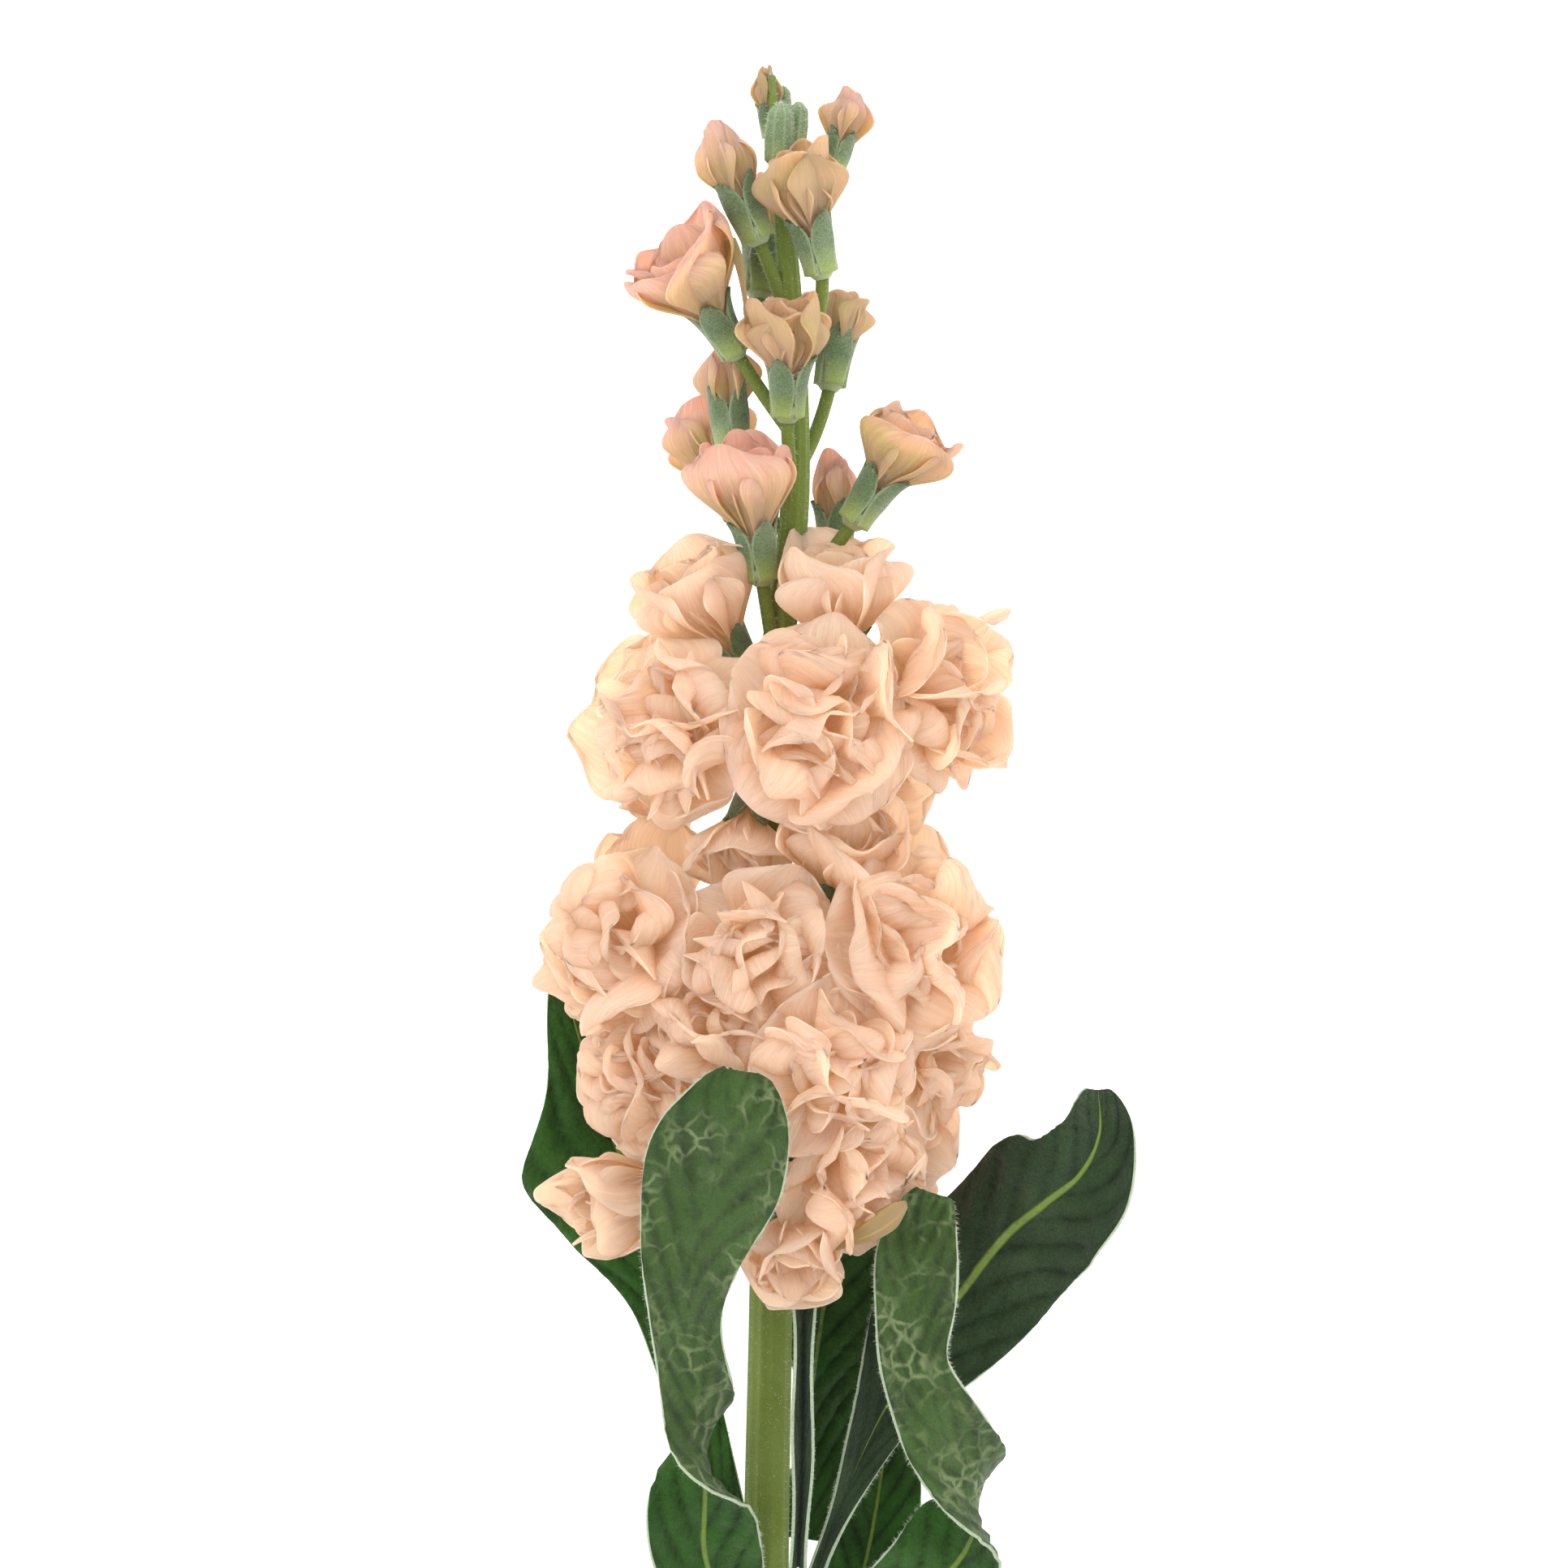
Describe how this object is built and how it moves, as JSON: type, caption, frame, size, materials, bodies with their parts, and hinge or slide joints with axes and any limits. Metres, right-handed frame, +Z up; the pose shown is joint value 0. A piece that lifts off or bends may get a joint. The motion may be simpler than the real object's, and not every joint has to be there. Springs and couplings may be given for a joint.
{
  "type": "cut stock flower stem",
  "caption": "Cut stem of a double apricot stock flower lying on a surface, with ruffled blooms, buds with felted calyces and twisted grey-green leaves.",
  "frame": {"origin": "on the surface that the stem lies on, under the middle of the whole part's box", "axes": "+Y along the stem from the cut end to the tip, +Z up from the surface, +X to the right seen from above with the tip away from the viewer"},
  "size_m": [0.1248, 0.4262, 0.0756],
  "materials": {
    "stem_green": "living green stem, finely ribbed, with a thin pale felt, satin",
    "leaf_green": "thick leaf with a felt of short grey hairs, matt, with pale margins and midrib",
    "calyx_green": "felted grey-green sepals, matt",
    "petal_apricot": "thin soft apricot petal with fine radiating veins, matt and slightly see-through"
  },
  "bodies": {
    "root": {"bloom_01_petals": "petal_apricot", "bloom_02_petals": "petal_apricot", "bloom_03_petals": "petal_apricot", "bloom_04_petals": "petal_apricot", "bloom_05_petals": "petal_apricot", "bloom_06_petals": "petal_apricot", "bloom_07_petals": "petal_apricot", "bloom_08_petals": "petal_apricot", "bloom_09_petals": "petal_apricot", "bloom_10_petals": "petal_apricot", "bloom_11_petals": "petal_apricot", "bloom_12_petals": "petal_apricot", "bloom_13_petals": "petal_apricot", "bloom_14_petals": "petal_apricot", "bloom_15_petals": "petal_apricot", "bloom_16_petals": "petal_apricot", "bloom_17_petals": "petal_apricot", "bloom_18_petals": "petal_apricot", "bloom_19_petals": "petal_apricot", "bloom_20_petals": "petal_apricot", "bloom_21_petals": "petal_apricot", "bloom_22_petals": "petal_apricot", "bloom_23_petals": "petal_apricot", "bud_top_petals": "petal_apricot", "flower_01_calyx": "calyx_green", "flower_01_petals": "petal_apricot", "flower_02_calyx": "calyx_green", "flower_02_petals": "petal_apricot", "flower_03_calyx": "calyx_green", "flower_03_petals": "petal_apricot", "flower_04_calyx": "calyx_green", "flower_04_petals": "petal_apricot", "flower_05_calyx": "calyx_green", "flower_05_petals": "petal_apricot", "flower_06_calyx": "calyx_green", "flower_06_petals": "petal_apricot", "flower_07_calyx": "calyx_green", "flower_07_petals": "petal_apricot", "flower_08_calyx": "calyx_green", "flower_08_petals": "petal_apricot", "flower_09_calyx": "calyx_green", "flower_09_petals": "petal_apricot", "flower_10_calyx": "calyx_green", "flower_10_petals": "petal_apricot", "flower_11_calyx": "calyx_green", "flower_11_petals": "petal_apricot", "flower_12_calyx": "calyx_green", "flower_12_petals": "petal_apricot", "flower_13_calyx": "calyx_green", "flower_13_petals": "petal_apricot", "leaf_back_left": "leaf_green", "leaf_back_right": "leaf_green", "leaf_front_left": "leaf_green", "leaf_front_right": "leaf_green", "leaf_inner_right": "leaf_green", "leaf_low_left": "leaf_green", "leaf_narrow": "leaf_green", "leaf_right": "leaf_green", "stem": "stem_green"}
  },
  "joints": []
}
